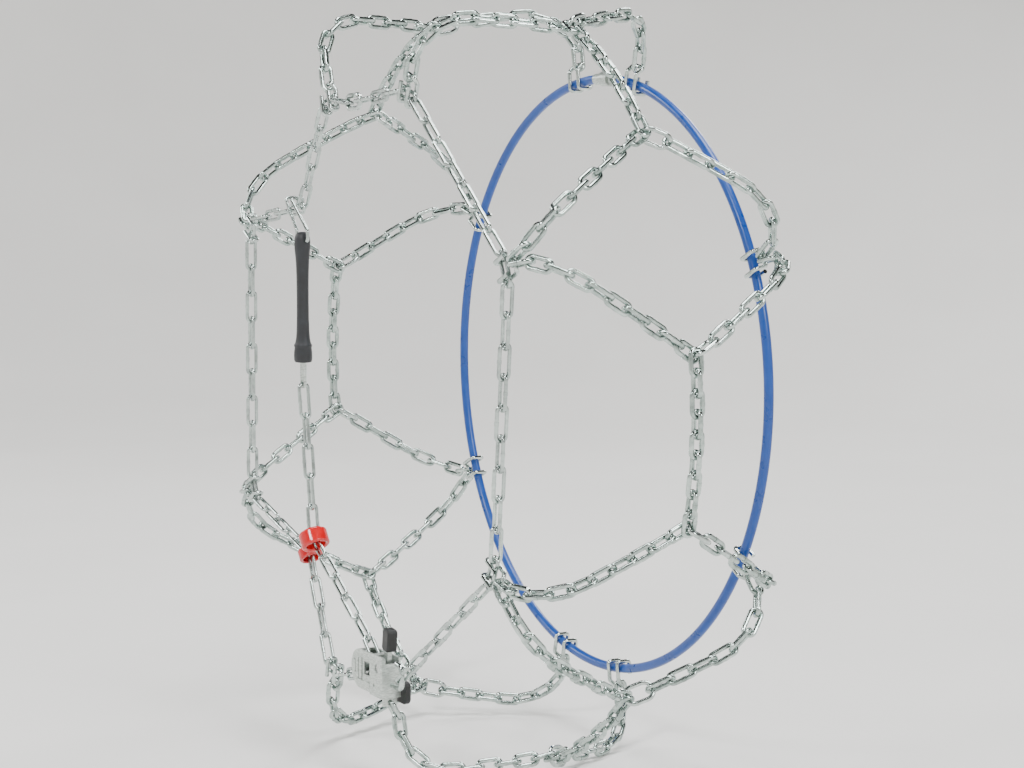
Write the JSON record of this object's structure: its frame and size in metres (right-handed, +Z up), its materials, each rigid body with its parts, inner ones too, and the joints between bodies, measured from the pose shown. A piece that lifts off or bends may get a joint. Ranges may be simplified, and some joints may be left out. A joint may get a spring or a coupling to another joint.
{
  "type": "tyre snow chain",
  "caption": "Diamond-pattern tyre snow chain with rear cable hoop, front side chain, self-locking tensioner, ring guide and rubber tension strap.",
  "frame": {"origin": "centre of the wheel the chain is fitted to, half way across the tyre's width", "axes": "+Y along the axle from the outer face towards the vehicle, +Z up, +X to the right seen from the outer face"},
  "size_m": [0.6634, 0.256, 0.6416],
  "materials": {
    "zinc_chain": "bright zinc plated",
    "zinc_wire": "bright zinc plated",
    "zinc_sheet": "zinc plated pressed sheet",
    "rivet_steel": "plain",
    "cable_steel": "stranded",
    "blue_plastic": "smooth",
    "red_plastic": "glossy",
    "black_plastic": "fine grained",
    "black_rubber": "moulded"
  },
  "bodies": {
    "net": {"front_legs_1": "zinc_chain", "front_legs_2": "zinc_chain", "front_legs_3": "zinc_chain", "front_legs_4": "zinc_chain", "front_legs_5": "zinc_chain", "front_legs_6": "zinc_chain", "rear_legs_1": "zinc_chain", "rear_legs_2": "zinc_chain", "rear_legs_3": "zinc_chain", "rear_legs_4": "zinc_chain", "rear_legs_5": "zinc_chain", "rear_legs_6": "zinc_chain", "centre_run_1": "zinc_chain", "centre_run_2": "zinc_chain", "centre_run_3": "zinc_chain", "centre_run_4": "zinc_chain", "centre_run_5": "zinc_chain", "centre_run_6": "zinc_chain", "centre_hooks": "zinc_wire", "front_clips": "zinc_wire", "rear_clips": "zinc_wire", "cable_core": "cable_steel", "cable_coat": "blue_plastic", "cable_ball_end": "zinc_sheet", "cable_socket": "zinc_sheet", "side_chain_1": "zinc_chain", "side_chain_2": "zinc_chain", "side_chain_3": "zinc_chain", "side_chain_4": "zinc_chain", "side_chain_5": "zinc_chain", "side_chain_6": "zinc_chain", "side_chain_7": "zinc_chain", "side_chain_8": "zinc_chain", "closing_hook": "zinc_wire", "tension_chain_lower": "zinc_chain", "tension_chain_upper": "zinc_chain", "lock_housing": "zinc_sheet", "lock_cover": "zinc_sheet", "roller_pin": "rivet_steel", "lever_pin": "rivet_steel", "lever_spring": "zinc_wire", "lock_pad": "black_plastic", "pad_rivets": "rivet_steel", "j_hook": "zinc_wire", "leg_hook": "zinc_wire", "ring_guide": "red_plastic", "end_plate": "zinc_sheet", "rubber_strap": "black_rubber"},
    "roller": {"guide_roller": "zinc_sheet"},
    "lever": {"release_lever": "zinc_sheet", "lever_tip": "black_plastic"},
    "hook": {"strap_hook": "zinc_wire"}
  },
  "joints": [
    {"name": "release_turn", "type": "hinge", "parent": "net", "child": "lever", "pos_m": [0.057, -0.1212, -0.226], "axis": [0, 1, 0], "range_deg": [0, 16], "stiffness_Nm_per_rad": 0.3, "springref_deg": -5.73},
    {"name": "roller_turn", "type": "hinge", "parent": "net", "child": "roller", "pos_m": [0.0205, -0.1212, -0.23], "axis": [0, 1, 0], "continuous": true},
    {"name": "strap_stretch", "type": "slide", "parent": "net", "child": "hook", "axis": [0, 0, 1], "range_m": [0, 0.012], "stiffness_N_per_m": 2000, "springref_m": -0.002, "deforming": ["rubber_strap"]}
  ]
}
